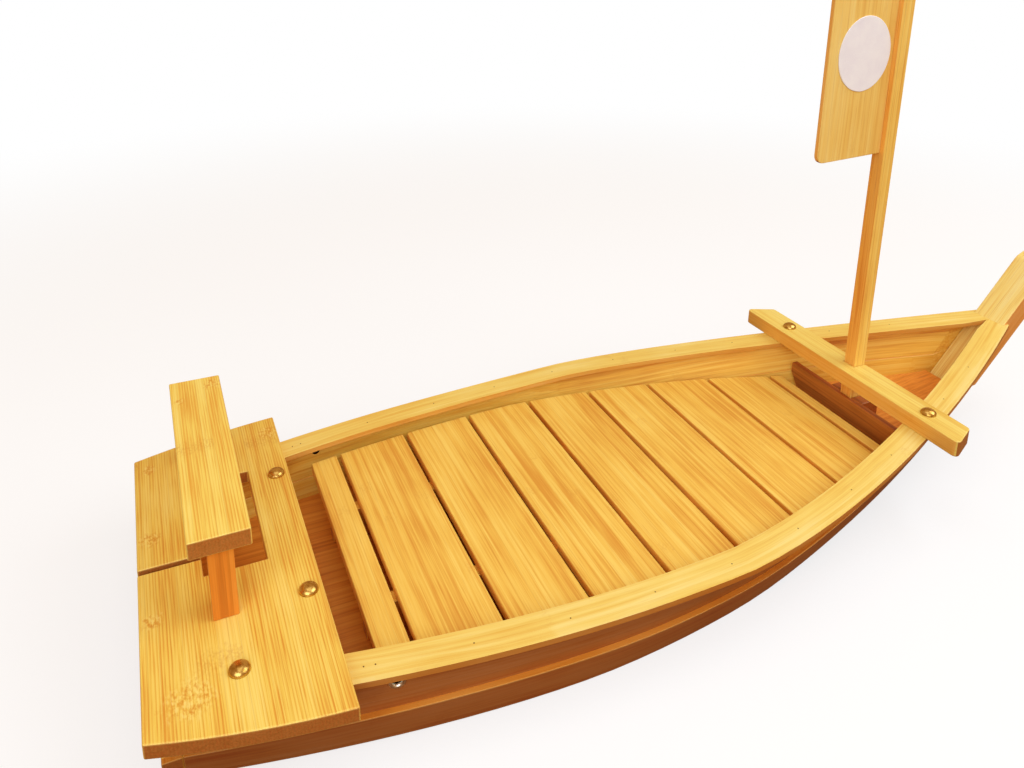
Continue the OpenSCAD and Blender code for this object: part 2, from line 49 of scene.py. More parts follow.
# Lengths are millimetres from the stern deck's front edge, and row_shift centres the boat
row_shift = -264.0
hull_stern = -72.0
plank_power = 1.77
chine_widest = 144.2
chine_half = 107.5
chine_stern_half = 82.0
chine_bow = 513.1
chine_bow_half = 14.0
lift_start = 214.9
lift_blend = 50.0
stem_front = 515.5
bow_lift = 30.0
lift_slope = bow_lift / (stem_front - lift_start - lift_blend / 2)


def half_breadth(x, widest, widest_x, stern, bow, bow_x, aft_power=plank_power,
                 fore_power=plank_power):
    """The widest half breadth less a power of the distance from the widest station."""
    aft = np.clip((widest_x - x) / (widest_x - hull_stern), 0, None)
    fore = np.clip((x - widest_x) / (bow_x - widest_x), 0, None)
    fall = (widest - stern) * aft ** aft_power + (widest - bow) * fore ** fore_power
    return widest - fall


def chine_line(x):
    """Half breadth of the upper strakes' lower edges."""
    return half_breadth(
        x, chine_half, chine_widest, chine_stern_half, chine_bow_half, chine_bow)


def keel(x):
    """Height of the bottom: flat, a parabola over the blend, then one slope."""
    blend = lift_slope * np.clip(x - lift_start, 0, lift_blend) ** 2 / (2 * lift_blend)
    return blend + lift_slope * np.clip(x - lift_start - lift_blend, 0, None)


def along_hull(line):
    """Length along a hull line from the stern, summed from short chords, as a function of x."""
    xs = np.linspace(-100.0, 640.0, 371)
    steps = np.hypot(np.diff(xs), np.diff(line(xs)))
    return lambda x: np.interp(x, xs, np.concatenate([[0.0], np.cumsum(steps)]))


def strake_grain(p):
    """Along the chine, up from the keel's height, and in from the chine."""
    along = along_hull(chine_line)(p[:, 0])
    return np.stack([along, p[:, 2] - keel(p[:, 0]), chine_line(p[:, 0]) - np.abs(p[:, 1])], 1)


def straight(along, across, through):
    """Grain coordinates of a flat board: three directions, each times the point."""
    frame_of_board = np.array([along, across, through], float)
    return lambda p: p @ frame_of_board.T


def board(node, body, material, grain, ease=0.6, seed=0, outside=None, plane=None):
    """A node's solid as a sanded board, with its grain coordinates in mm as an attribute.

    Loose triangles are merged, flat faces joined, and edges rounded by ease millimetres.
    """
    same_plane = math.radians(0.2)
    sharp = math.radians(28)
    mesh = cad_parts[node].data.copy()
    mesh.name = node + "_eased"
    bm = bmesh.new()
    bm.from_mesh(mesh)
    bmesh.ops.remove_doubles(bm, verts=bm.verts, dist=2e-6)
    bmesh.ops.dissolve_limit(
        bm, angle_limit=same_plane, verts=bm.verts, edges=bm.edges, delimit=set())
    if plane:
        plane(bm)
    rim = bm.faces.layers.float.new("eased")
    edges = [e for e in bm.edges if e.is_manifold and e.calc_face_angle(0) > sharp]
    rounded = bmesh.ops.bevel(
        bm, geom=edges, offset=ease / 1000, segments=3, profile=0.5, affect="EDGES",
        clamp_overlap=True)
    for face in rounded["faces"]:
        face[rim] = 1.0
    for face in bm.faces:
        face.smooth = True
    bm.to_mesh(mesh)
    bm.free()
    points = np.empty(len(mesh.vertices) * 3, np.float32)
    normals = np.empty(len(mesh.polygons) * 3, np.float32)
    centres = np.empty(len(mesh.polygons) * 3, np.float32)
    mesh.vertices.foreach_get("co", points)
    mesh.polygons.foreach_get("normal", normals)
    mesh.polygons.foreach_get("center", centres)
    millimetres = points.reshape(-1, 3) * 1000 - [row_shift, 0, 0]
    middles = centres.reshape(-1, 3) * 1000 - [row_shift, 0, 0]

    # A face is an end where it looks along the grain, a side where it looks across the
    # strips, and outside where it looks against the grain axis that outside names. Side and
    # outside faces are darkened in the material as painted shade
    climb = grain(middles + normals.reshape(-1, 3)) - grain(middles)
    outside_faces_painted_shade = climb[:, outside] < -0.6 if outside else np.zeros(len(climb), bool)
    masks = {"end": np.abs(climb[:, 0]) > 0.75,
             "side": (np.abs(climb[:, 1]) > 0.75) & ~outside_faces_painted_shade,
             "outside": outside_faces_painted_shade}
    for name, mask in masks.items():
        mesh.attributes.new(name, "FLOAT", "FACE").data.foreach_set(
            "value", mask.astype(np.float32))
    # Each seed is a board cut from another stretch of the same bamboo
    stretch = np.array([911.0, 137.0, 59.0]) * seed
    coords = mesh.attributes.new("board", "FLOAT_VECTOR", "POINT")
    coords.data.foreach_set("vector", (grain(millimetres) + stretch).astype(np.float32).ravel())

    mesh.materials.clear()
    mesh.materials.append(material)
    piece = bpy.data.objects.new(node + "_board", mesh)
    bpy.context.scene.collection.objects.link(piece)
    weighted = piece.modifiers.new("flat_faces_stay_flat", "WEIGHTED_NORMAL")
    weighted.keep_sharp = True
    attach(piece, body)
    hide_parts(node)
    return piece


def linear(code):
    """Linear colour of an sRGB hex value, with alpha 1."""
    parts = [int(code[i:i + 2], 16) / 255 for i in (1, 3, 5)]
    return [c / 12.92 if c <= 0.04045 else ((c + 0.055) / 1.055) ** 2.4 for c in parts] + [1.0]


def add(tree, kind, inputs=(), **settings):
    """Adds a node, gives it its settings, and links or sets its inputs, listed or by name.

    A node given as an input stands for its first output.
    """
    made = tree.nodes.new("ShaderNode" + kind)
    for name, value in settings.items():
        setattr(made, name, value)
    for name, value in inputs.items() if isinstance(inputs, dict) else enumerate(inputs):
        if isinstance(value, bpy.types.Node):
            value = value.outputs[0]
        if isinstance(value, bpy.types.NodeSocket):
            tree.links.new(value, made.inputs[name])
        else:
            made.inputs[name].default_value = value
    return made


def new_material(name):
    """An empty node material and its surface output."""
    material = bpy.data.materials.new(name)
    material.use_nodes = True
    material.node_tree.nodes.clear()
    return material, material.node_tree


def bamboo(name, light, middle, dark, strip, joint, fibre=1.0, node_mark=1.0, ply=8.0,
           roughness=0.42, side=(1.0, 0.8, 0.75), streaks=1.0, reeds=0.0, node_strips=1.0,
           outside_painted_shade=(0.5, 0.29, 0.46), patches=()):
    """Laminated bamboo: strips pressed side by side, planed, sanded and satin lacquered.

    The eye sees strips of slightly different tone, long fibres, warm joints and now and then
    a node. The tone is a weighted sum of each strip's own tone, wide streaks, reeds, fine
    fibres and soft clouds. Lengths are millimetres: strip is a strip's width and ply the
    thickness of a layer. The side colour and the outside colour are painted shade,
    multiplied into faces cut across the strips and into the hull's outer faces.
    """
    reed_gap = 1.5
    joint_width = 0.4
    node_gap = 300.0
    node_width = 4.5 * node_strips ** 0.5
    material, tree = new_material(name)
    grain = add(tree, "Attribute", attribute_name="board").outputs["Vector"]
    is_end, is_edge, is_side_painted_shade, is_outside_painted_shade = (
        add(tree, "Attribute", attribute_name=mask).outputs["Fac"]
        for mask in ("end", "eased", "side", "outside"))
    axes = add(tree, "SeparateXYZ", {"Vector": grain}).outputs

    # Noise drawn out along the grain: the length and width of its spots in millimetres, its
    # detail, its roughness and its shift. Real fibres are about 0.3 mm across, and the
    # threads are drawn at 0.5 mm so that they show.
    noises = {
        "wander": (160.0, 30.0, 1.0, 0.55, (0.0, 0.0, 0.0)),
        "streaks": (150.0, 2.6, 2.0, 0.55, (3.0, 7.0, 1.0)),
        "fibres": (55.0, 0.95, 2.0, 0.6, (0.0, 0.0, 0.0)),
        "threads": (30.0, 0.5, 2.0, 0.65, (11.0, 5.0, 2.0)),
        "clouds": (60.0, 22.0, 2.0, 0.55, (5.0, 1.0, 8.0)),
        "ragged": (4.0, 2.6, 2.0, 0.55, (0.0, 0.0, 0.0)),
        "mottle": (1.8, 1.1, 2.0, 0.55, (0.0, 0.0, 0.0)),
        "fringe": (7.0, 3.0, 2.0, 0.55, (0.0, 0.0, 0.0)),
        "flecks": (2.6, 1.5, 2.0, 0.6, (9.0, 4.0, 6.0)),
        "dots": (30.0, 0.9, 2.0, 0.6, (1.0, 1.0, 9.0))}
    drawn = {}
    for kind, (length, width, detail, coarse, shift) in noises.items():
        scaled = add(tree, "Mapping", {
            "Vector": grain, "Location": shift,
            "Scale": (1 / length, 1 / width, 1 / width)})
        drawn[kind] = add(tree, "TexNoise", {
            "Vector": scaled, "Scale": 1.0, "Detail": detail, "Roughness": coarse})
    fibres = drawn["fibres"]
    threads = drawn["threads"]

    # Strips wander a little, because each is planed from a split culm. Each has a tone of
    # its own, drawn by its number and its layer.
    across = add(tree, "Math", (drawn["wander"], strip * 0.5, axes[1]),
                 operation="MULTIPLY_ADD")
    share = add(tree, "Math", (across, strip), operation="DIVIDE")
    number = add(tree, "Math", (share,), operation="FLOOR")
    ply_share = add(tree, "Math", (axes[2], ply), operation="DIVIDE")
    layer = add(tree, "Math", (ply_share,), operation="FLOOR")
    key = add(tree, "CombineXYZ", (number, layer, 0.37))
    strip_tone = add(tree, "TexWhiteNoise", {"Vector": key}, noise_dimensions="3D")
    # Vascular bundles show as fine lines, one every reed_gap
    swayed = add(tree, "Math", (fibres, 2.0, across), operation="MULTIPLY_ADD")
    reed_share = add(tree, "Math", (swayed, reed_gap), operation="DIVIDE")
    between = add(tree, "Math", (reed_share, 0.5), operation="PINGPONG")
    beside = add(tree, "Math", (1.0, between), operation="SUBTRACT")
    thinned = add(tree, "Math", (beside, 5.0), operation="POWER")
    broken = add(tree, "Math", (threads, 0.1), operation="ADD")
    reed = add(tree, "Math", (thinned, broken), operation="MULTIPLY")
    # The weighted sum, less about the mean of the streaks, the reeds and the fibres
    tone = reeds * 0.15 - streaks * 0.5 - fibre * 0.425
    for part, weight in ((strip_tone, 0.26), (drawn["streaks"], streaks), (reed, -reeds),
                         (fibres, fibre * 0.85), (drawn["clouds"], 0.75)):
        tone = add(tree, "Math", (part, weight, tone), operation="MULTIPLY_ADD")
    ramp = add(tree, "ValToRGB", {"Fac": tone})
    stops = ramp.color_ramp
    stops.elements[0].position = 0.18
    stops.elements[0].color = linear(dark)
    stops.elements[1].position = 0.82
    stops.elements[1].color = linear(light)
    stops.elements.new(0.5).color = linear(middle)

    # Joint between strips: a warm line, darker at some joints than at others
    to_joint = add(tree, "Math", (share, 0.5), operation="PINGPONG")
    line = add(tree, "Math", (to_joint, -strip / joint_width, 1.0),
               operation="MULTIPLY_ADD", use_clamp=True)
    depth = add(tree, "Math", (strip_tone, joint * 0.8, joint * 0.15),
                operation="MULTIPLY_ADD")
    joints = add(tree, "Math", (line, depth), operation="MULTIPLY")
    # Thin warm threads run with the fibres
    strong = add(tree, "Math", (threads, 0.56), operation="SUBTRACT", use_clamp=True)
    dashes = add(tree, "Math", (strong, fibre * 2.6), operation="MULTIPLY")
    # A node crosses each strip, or a slab of node_strips strips, at its own place
    slab_share = add(tree, "Math", (share, node_strips), operation="DIVIDE")
    slab = add(tree, "Math", (slab_share,), operation="FLOOR")
    slab_key = add(tree, "CombineXYZ", (slab, layer, 5.31))
    start = add(tree, "TexWhiteNoise", {"Vector": slab_key}, noise_dimensions="3D")
    length_share = add(tree, "Math", (axes[0], node_gap), operation="DIVIDE")
    place = add(tree, "Math", (start, 1.7, length_share), operation="MULTIPLY_ADD")
    ragged = add(tree, "Math", (drawn["ragged"], 0.06, place), operation="MULTIPLY_ADD")
    to_node = add(tree, "Math", (ragged, 0.5), operation="PINGPONG")
    band = add(tree, "Math", (to_node, -node_gap / node_width, 1.0),
               operation="MULTIPLY_ADD", use_clamp=True)
    mottle = add(tree, "Math", (drawn["mottle"], 2.4, -0.85),
                 operation="MULTIPLY_ADD", use_clamp=True)
    mottled = add(tree, "Math", (band, mottle), operation="MULTIPLY")
    marks = add(tree, "Math", (mottled, node_mark * 0.75), operation="MULTIPLY")

    # Layers laid over the tone, each with its blend, how much of it shows and its colour
    layers = [("MIX", joints, linear("#B96F20")), ("MIX", dashes, linear("#CF862C")),
              ("MIX", marks, linear("#CF8A30"))]
    # Where a node was planed flat the board shows a broad patch, flecked pale and orange
    on_face = add(tree, "CombineXYZ", (axes[0], axes[1], 0.0))
    warm = add(tree, "Math", (drawn["flecks"], 5.0, -2.35),
               operation="MULTIPLY_ADD", use_clamp=True)
    pale = add(tree, "Math", (drawn["flecks"], -5.0, 2.45),
               operation="MULTIPLY_ADD", use_clamp=True)
    for spot_along, spot_across, spread in patches:
        gap = add(tree, "VectorMath", (on_face, (spot_along, spot_across, 0.0)),
                  operation="DISTANCE").outputs["Value"]
        inward = add(tree, "Math", (gap, -spread), operation="DIVIDE")
        edge = add(tree, "Math", (drawn["fringe"], 1.2, inward), operation="MULTIPLY_ADD")
        patch = add(tree, "Math", (edge, 2.5, 0.6), operation="MULTIPLY_ADD",
                    use_clamp=True)
        for flecks, strength, colour in ((warm, 0.8, "#D98E28"), (pale, 0.6, "#FBE58C")):
            flecked = add(tree, "Math", (patch, flecks), operation="MULTIPLY")
            amount = add(tree, "Math", (flecked, strength), operation="MULTIPLY")
            layers.append(("MIX", amount, linear(colour)))
    # Painted shade: faces cut across the strips are multiplied by the side colour, which makes
    # them darker and more orange
    layers.append(("MULTIPLY", is_side_painted_shade, (*side, 1.0)))
    # Painted shade: the hull's outer faces are multiplied by the outside colour, which darkens
    # them
    layers.append(("MULTIPLY", is_outside_painted_shade, (*outside_painted_shade, 1.0)))
    # Cut ends drink more lacquer and show the fibres as dots
    cut = add(tree, "ValToRGB", {"Fac": drawn["dots"]})
    cut.color_ramp.elements[0].position = 0.3
    cut.color_ramp.elements[0].color = linear("#99521C")
    cut.color_ramp.elements[1].position = 0.68
    cut.color_ramp.elements[1].color = linear("#B8642C")
    ends = add(tree, "Math", (is_end, 0.9), operation="MULTIPLY")
    layers.append(("MIX", ends, cut))
    # Sanding leaves the eased edges a little paler
    rims = add(tree, "Math", (is_edge, 0.2), operation="MULTIPLY")
    layers.append(("MIX", rims, linear(light)))
    shade = ramp.outputs[0]
    for blend, amount, colour in layers:
        shade = add(tree, "Mix", {0: amount, 6: shade, 7: colour}, data_type="RGBA",
                    blend_type=blend, clamp_factor=True).outputs[2]

    # Fibres and threads stand a little proud, and joints lie a little deep
    height = 0.0
    for part, weight in ((fibres, 0.5), (threads, 0.5), (joints, -0.6)):
        height = add(tree, "Math", (part, weight, height), operation="MULTIPLY_ADD")
    bump = add(tree, "Bump", {"Height": height, "Strength": 0.3, "Distance": 0.0001})
    gloss = add(tree, "Math", (fibres, 0.18, roughness - 0.09), operation="MULTIPLY_ADD")
    surface = add(tree, "BsdfPrincipled", {
        "Base Color": shade, "Roughness": gloss, "Normal": bump,
        "IOR": 1.45, "Coat Weight": 0.12, "Coat Roughness": 0.25})
    add(tree, "OutputMaterial", {"Surface": surface})
    return material


glue_line = 0.00005


def plane_to_strakes(bm):
    """Moves the board's edge points sideways, each to the strake's inner face at its height."""
    for side, way in (("near", -1), ("far", 1)):
        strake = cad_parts["lower_strake_" + side].data
        wall = BVHTree.FromPolygons(
            [point.co.copy() for point in strake.vertices],
            [tuple(face.vertices) for face in strake.polygons])
        for point in bm.verts:
            start = (point.co.x * 0.9999, 0.0, point.co.z + glue_line)
            hit = wall.ray_cast(start, (0, way, 0))[0]
            if hit and point.co.y * way > 0.01:
                point.co.y = hit.y - way * glue_line


side_bamboo = bamboo(
    "laminated_bamboo_side", light="#F8D060", middle="#F2BE48", dark="#DF9832",
    strip=9.0, joint=0.3, fibre=0.9, node_mark=0.4, roughness=0.4, side=(0.84, 0.54, 0.46))
# Painted shade: the bottom board is a deeper orange than the strakes, for the shade it lies in
# under the deck and bench
bottom_bamboo_painted_shade = bamboo(
    "laminated_bamboo_bottom", light="#F0A23C", middle="#E48E2E", dark="#CC7420",
    strip=9.0, joint=0.3, fibre=0.9, node_mark=0.4, roughness=0.45)
fore_and_aft = straight([1, 0, 0], [0, 1, 0], [0, 0, 1])
on_edge = straight([0, 1, 0], [0, 0, 1], [1, 0, 0])
board("bottom_board", "hull", bottom_bamboo_painted_shade, fore_and_aft, seed=1,
      plane=plane_to_strakes)
for count, side in enumerate(["near", "far"]):
    board("lower_strake_" + side, "hull", side_bamboo, strake_grain,
          seed=2 + count, outside=2)
    board("upper_strake_" + side, "hull", side_bamboo, strake_grain,
          ease=0.3, seed=4 + count, outside=2)
board("transom", "hull", side_bamboo, on_edge, seed=6, outside=2)

# Gunwale caps
# Pale flat-pressed bamboo bent along the upper strakes and pinned down with brads. The
# outer edges are darkened with a lighter painted shade than the hull's outside.
cap_half = 118.0
cap_widest = 207.9
cap_stern_half = 84.0
cap_bow_half = 14.5
cap_end = 540.0
cap_aft_power = 2.2
cap_fore_power = 1.5
cap_height = 44.0
sheer_start = 90.2
sheer_rise = 34.0


def cap_line(x):
    """Half breadth over the gunwale caps."""
    return half_breadth(x, cap_half, cap_widest, cap_stern_half, cap_bow_half, cap_end,
                        cap_aft_power, cap_fore_power)


def cap_top(x):
    """Height of the caps: level at the stern, then rising as a square."""
    forward = np.clip(x - sheer_start, 0, None) / (cap_end - sheer_start)
    return cap_height + sheer_rise * forward ** 2


def cap_grain(p):
    """Along the cap's outer line, in from that line, and down from its top."""
    along = along_hull(cap_line)(p[:, 0])
    return np.stack([along, cap_line(p[:, 0]) - np.abs(p[:, 1]), cap_top(p[:, 0]) - p[:, 2]], 1)


cap_bamboo = bamboo(
    "laminated_bamboo_cap", light="#F6E08A", middle="#F1D36C", dark="#E8BB50",
    strip=9.0, joint=0.08, fibre=0.6, node_mark=0.4, roughness=0.4, side=(0.85, 0.6, 0.5),
    outside_painted_shade=(0.66, 0.36, 0.26))
for count, side in enumerate(["near", "far"]):
    board("gunwale_cap_" + side, "hull", cap_bamboo, cap_grain, ease=0.5,
          seed=8 + count, outside=1)

# Stern deck and bench
# The deck is one laminated board with its strips across the boat. The bench board stands
# on two square legs, glued and screwed from below. Patches are planed nodes: how far along
# and across the strips they lie, and their spread.
deck_patches = ((-87.0, -66.0, 15.0), (-35.5, -80.0, 7.0), (24.9, -79.1, 8.0),
                (103.0, -5.5, 10.0), (90.1, -77.2, 6.0))
bench_patches = ((91.4, -37.3, 8.0), (77.6, -56.5, 5.0))
deck_bamboo = bamboo(
    "laminated_bamboo_deck", light="#F9DE76", middle="#F2CE58", dark="#E09A32",
    strip=5.1, joint=0.3, fibre=0.7, node_mark=0.8, roughness=0.42, streaks=0.35, reeds=0.65,
    node_strips=4.0, patches=deck_patches)
bench_bamboo = bamboo(
    "laminated_bamboo_bench", light="#FAE47E", middle="#F5D662", dark="#E7AA3E",
    strip=5.1, joint=0.3, fibre=0.7, node_mark=0.8, roughness=0.42, streaks=0.35, reeds=0.65,
    node_strips=4.0, patches=bench_patches)
leg_bamboo = bamboo(
    "laminated_bamboo_leg", light="#F09C3A", middle="#E88C2A", dark="#D0761E",
    strip=6.0, joint=0.3, fibre=1.0, node_mark=0.2, roughness=0.42)
athwart = straight([0, 1, 0], [1, 0, 0], [0, 0, 1])
upright = straight([0, 0, 1], [1, 0, 0], [0, 1, 0])
board("stern_deck", "hull", deck_bamboo, athwart, ease=0.8)
board("bench_board", "hull", bench_bamboo, athwart, ease=0.7)
board("bench_leg_near", "hull", leg_bamboo, upright, ease=0.5, seed=12)
board("bench_leg_far", "hull", leg_bamboo, upright, ease=0.5, seed=13)

# Bulkhead, mast step and crossbeam
# The bulkhead closes the well, the mast step stands behind it, and the crossbeam lies
# across the caps with a notch for the mast.
# The bulkhead and mast step are a darker brown, partly their own tone and partly painted shade
# for the shade under the crossbeam
bulkhead_bamboo_painted_shade = bamboo(
    "laminated_bamboo_bulkhead", light="#CC8238", middle="#B8702C", dark="#965620",
    strip=7.0, joint=0.3, fibre=0.9, node_mark=0.2, roughness=0.45)
beam_bamboo = bamboo(
    "laminated_bamboo_beam", light="#F5E07E", middle="#F0D368", dark="#E3B64A",
    strip=7.0, joint=0.2, fibre=0.8, node_mark=0.4, ply=5.5, roughness=0.4,
    side=(1.0, 0.72, 0.62))
board("fore_bulkhead", "hull", bulkhead_bamboo_painted_shade, on_edge, seed=14)
board("mast_step", "hull", bulkhead_bamboo_painted_shade, on_edge, seed=15)
board("crossbeam", "hull", beam_bamboo, athwart, ease=0.8, seed=16)

# Stem post
# One thick bamboo post raked over the bow, sawn from a single ply with its grain up the
# rake. The strakes close on its sides and are glued there.
rake = math.radians(48.2)
stem_grain = straight(
    [math.cos(rake), 0, math.sin(rake)], [0, 1, 0], [-math.sin(rake), 0, math.cos(rake)])
stem_bamboo = bamboo(
    "laminated_bamboo_stem", light="#FFEE9E", middle="#FDE486", dark="#F0C664",
    strip=8.7, joint=0.3, fibre=0.9, node_mark=0.2, ply=400.0, roughness=0.4,
    side=(0.88, 0.5, 0.38))
board("stem_post", "hull", stem_bamboo, stem_grain, ease=0.9, seed=17)

# Floor grid
# Nine bamboo slats nailed to two runners, with gaps for water to drain. The grid lies loose
# in the hull and lifts out for washing.
floor_bamboo = bamboo(
    "laminated_bamboo_floor", light="#F8D468", middle="#F1C352", dark="#DF9E38",
    strip=7.4, joint=0.3, fibre=1.0, node_mark=0.5, roughness=0.5)
for number in range(1, 10):
    board("slat_%d" % number, "floor_grid", floor_bamboo, athwart, ease=0.8,
          seed=20 + number)
board("grid_runner_near", "floor_grid", side_bamboo, fore_and_aft, seed=30)
board("grid_runner_far", "floor_grid", side_bamboo, fore_and_aft, seed=31)

# Mast and sail
# A square bamboo mast, and a thin sail board glued to it with the strips upright. The two
# lift out of the crossbeam's notch for packing.
sail_bamboo = bamboo(
    "laminated_bamboo_sail", light="#FFE086", middle="#FCD470", dark="#F2BE58",
    strip=7.0, joint=0.2, fibre=0.9, node_mark=0.2, roughness=0.36)
mast_bamboo = bamboo(
    "laminated_bamboo_mast", light="#FFDA74", middle="#FCCE60", dark="#EEAE48",
    strip=5.0, joint=0.5, fibre=1.1, node_mark=0.2, roughness=0.38, side=(1.0, 0.84, 0.84))
board("mast", "mast_and_sail", mast_bamboo, upright, ease=0.6, seed=40)
board("sail", "mast_and_sail", sail_bamboo, upright, ease=0.5, seed=41)

# Blank disc on the sail
# A plain round self-adhesive label of coated white paper. The sail board is turned a little
# about the mast, and the disc with it.
disc_r = 24.25
disc_t = 0.5
disc_round = 0.15
disc_centre = (363.837, -4.427, 297.5)
sail_turn = math.radians(6)
sail_face = ([math.cos(sail_turn), math.sin(sail_turn), 0], [0, 0, 1],
             [math.sin(sail_turn), -math.cos(sail_turn), 0])


def paper():
    """Coated paper: faint fibre flecks and a soft mottle over an off-white sheet."""
    material, tree = new_material("coated_paper")
    place = add(tree, "TexCoord").outputs["Object"]
    # Paper fibres are about 0.1 mm across and are drawn at 0.8 mm so that they show, and the
    # mottle is 11 mm across
    fleck = add(tree, "TexNoise", {"Vector": place, "Scale": 1250.0, "Detail": 3.0})
    mottle = add(tree, "TexNoise", {"Vector": place, "Scale": 90.0, "Detail": 2.0})
    mixed = add(tree, "Math", (fleck, 0.4, mottle), operation="MULTIPLY_ADD")
    ramp = add(tree, "ValToRGB", {"Fac": mixed})
    ramp.color_ramp.elements[0].position = 0.45
    ramp.color_ramp.elements[0].color = linear("#F6F4F8")
    ramp.color_ramp.elements[1].position = 0.95
    ramp.color_ramp.elements[1].color = linear("#FFFFFF")
    bump = add(tree, "Bump", {"Height": fleck, "Strength": 0.15, "Distance": 0.00005})
    surface = add(tree, "BsdfPrincipled", {
        "Base Color": ramp, "Roughness": 0.6, "Specular IOR Level": 0.2, "Normal": bump})
    add(tree, "OutputMaterial", {"Surface": surface})
    return material


def spun(profile, turns=48):
    """A profile of (radius, height) pairs turned about Z: points r cos a, r sin a, z."""
    angles = np.linspace(0, 2 * np.pi, turns, endpoint=False)
    radius, height = np.array(profile, float).T
    grid = np.stack([
        radius[:, None] * np.cos(angles), radius[:, None] * np.sin(angles),
        np.repeat(height[:, None], turns, 1)], 2)
    rows, cols = np.meshgrid(np.arange(len(radius) - 1), np.arange(turns), indexing="ij")
    after = (cols + 1) % turns
    quads = np.stack([rows * turns + cols, rows * turns + after,
                      (rows + 1) * turns + after, (rows + 1) * turns + cols], 2)
    return grid.reshape(-1, 3), quads.reshape(-1, 4)


def fittings(name, body, material, shape, places, nodes=(), closed=True):
    """Copies of one spun shape, each turned by a 3 by 3 frame and set at a point in mm.

    The attribute height keeps each point's own height in the profile.
    """
    points, quads = shape
    count = len(places)
    frames = np.array([np.column_stack(turn) for _, turn in places], float)
    spots = np.array([spot for spot, _ in places], float)
    placed = np.einsum("nij,pj->npi", frames, points) + spots[:, None]
    placed = (placed + [row_shift, 0, 0]) / 1000
    faces = (quads[None] + np.arange(count)[:, None, None] * len(points)).reshape(-1, 4)
    mesh = bpy.data.meshes.new(name)
    mesh.from_pydata(placed.reshape(-1, 3), [], faces)
    height = mesh.attributes.new("height", "FLOAT", "POINT")
    height.data.foreach_set("value", np.tile(points[:, 2], count).astype(np.float32))
    bm = bmesh.new()
    bm.from_mesh(mesh)
    bmesh.ops.remove_doubles(bm, verts=bm.verts, dist=2e-6)
    if closed:
        bmesh.ops.holes_fill(bm, edges=[e for e in bm.edges if e.is_boundary], sides=0)
    bmesh.ops.recalc_face_normals(bm, faces=bm.faces)
    for face in bm.faces:
        face.smooth = True
    bm.to_mesh(mesh)
    bm.free()
    mesh.materials.append(material)
    piece = bpy.data.objects.new(name, mesh)
    bpy.context.scene.collection.objects.link(piece)
    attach(piece, body)
    if nodes:
        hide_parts(*nodes)
    return piece


# The two rings inside the rim keep the top's shading flat
disc_profile = [
    (0.0, 0.0), (disc_r, 0.0), (disc_r, disc_t - disc_round), (disc_r - disc_round, disc_t),
    (disc_r - 0.4, disc_t), (disc_r - 1.0, disc_t), (0.0, disc_t)]
fittings("paper_disc", "mast_and_sail", paper(), spun(disc_profile, 128),
         [(disc_centre, sail_face)], ["sail_disc"])

# Domed heads
# Pressed brass caps over the screws that hold the boards, four on the deck and two on the
# crossbeam.
dome_r = 5.0
dome_h = 3.2
deck_top = 52.0
beam_top = 69.17
deck_heads = [(-7.5, 56.5), (-7.5, -44.5), (-45.0, -80.0), (-45.0, 76.5)]
beam_heads = [(391.08, 62.5), (391.08, -70.0)]
level = ([1, 0, 0], [0, 1, 0], [0, 0, 1])


def brass(name, dull, bright):
    """Pressed brass: metal with faint draw marks and handling smudges in its gloss."""
    material, tree = new_material(name)
    place = add(tree, "TexCoord").outputs["Object"]
    # Smudges are 2.5 mm across, and draw marks 0.4 mm
    smudge = add(tree, "TexNoise", {"Vector": place, "Scale": 400.0, "Detail": 3.0})
    tarnish = add(tree, "ValToRGB", {"Fac": smudge})
    tarnish.color_ramp.elements[0].position = 0.35
    tarnish.color_ramp.elements[0].color = linear(dull)
    tarnish.color_ramp.elements[1].position = 0.6
    tarnish.color_ramp.elements[1].color = linear(bright)
    rough = add(tree, "Math", (smudge, 0.06, 0.24), operation="MULTIPLY_ADD")
    scratch = add(tree, "TexNoise", {"Vector": place, "Scale": 2500.0, "Detail": 2.0})
    bump = add(tree, "Bump", {"Height": scratch, "Strength": 0.02, "Distance": 0.00002})
    # Painted shade: a bore is coloured dark from 0.8 mm below the face, for the shade inside the
    # hole
    height = add(tree, "Attribute", attribute_name="height").outputs["Fac"]
    bore_painted_shade = add(tree, "MapRange", {"Value": height, "From Min": -0.2, "From Max": -0.8})
    colour = add(tree, "Mix", {
        0: bore_painted_shade, 6: tarnish, 7: linear("#2E1C0E")}, data_type="RGBA")
    surface = add(tree, "BsdfPrincipled", {
        "Base Color": colour.outputs[2], "Metallic": 1.0, "Roughness": rough, "Normal": bump})
    add(tree, "OutputMaterial", {"Surface": surface})
    return material


swing = np.linspace(0, np.pi / 2, 16)
dome_profile = np.concatenate([
    [(0.0, 0.0)], np.stack([dome_r * np.cos(swing) ** 0.9, dome_h * np.sin(swing)], 1)])
bright_brass = brass("polished_brass", "#B8883A", "#E0B764")
fittings("deck_heads", "hull", bright_brass, spun(dome_profile),
         [((x, y, deck_top), level) for x, y in deck_heads], ["deck_domes"])
fittings("beam_heads", "hull", bright_brass, spun(dome_profile),
         [((x, y, beam_top), level) for x, y in beam_heads], ["beam_domes"])

# Brads in the gunwale caps
# Headless steel pins driven along the middle of each cap to hold it to the strake, rusted
# to dark dots.
pin_r = 0.4
pin_stand = 0.1
pin_inset = 9.0
pin_profile = [(0.0, 0.0), (pin_r, 0.0), (pin_r, 0.06), (0.3, pin_stand), (0.0, pin_stand)]
pin_xs = np.array([8.0, 13.4, 59.8, 109.3, 157.1, 205.0, 255.0, 305.0, 350.0, 425.0, 470.0])


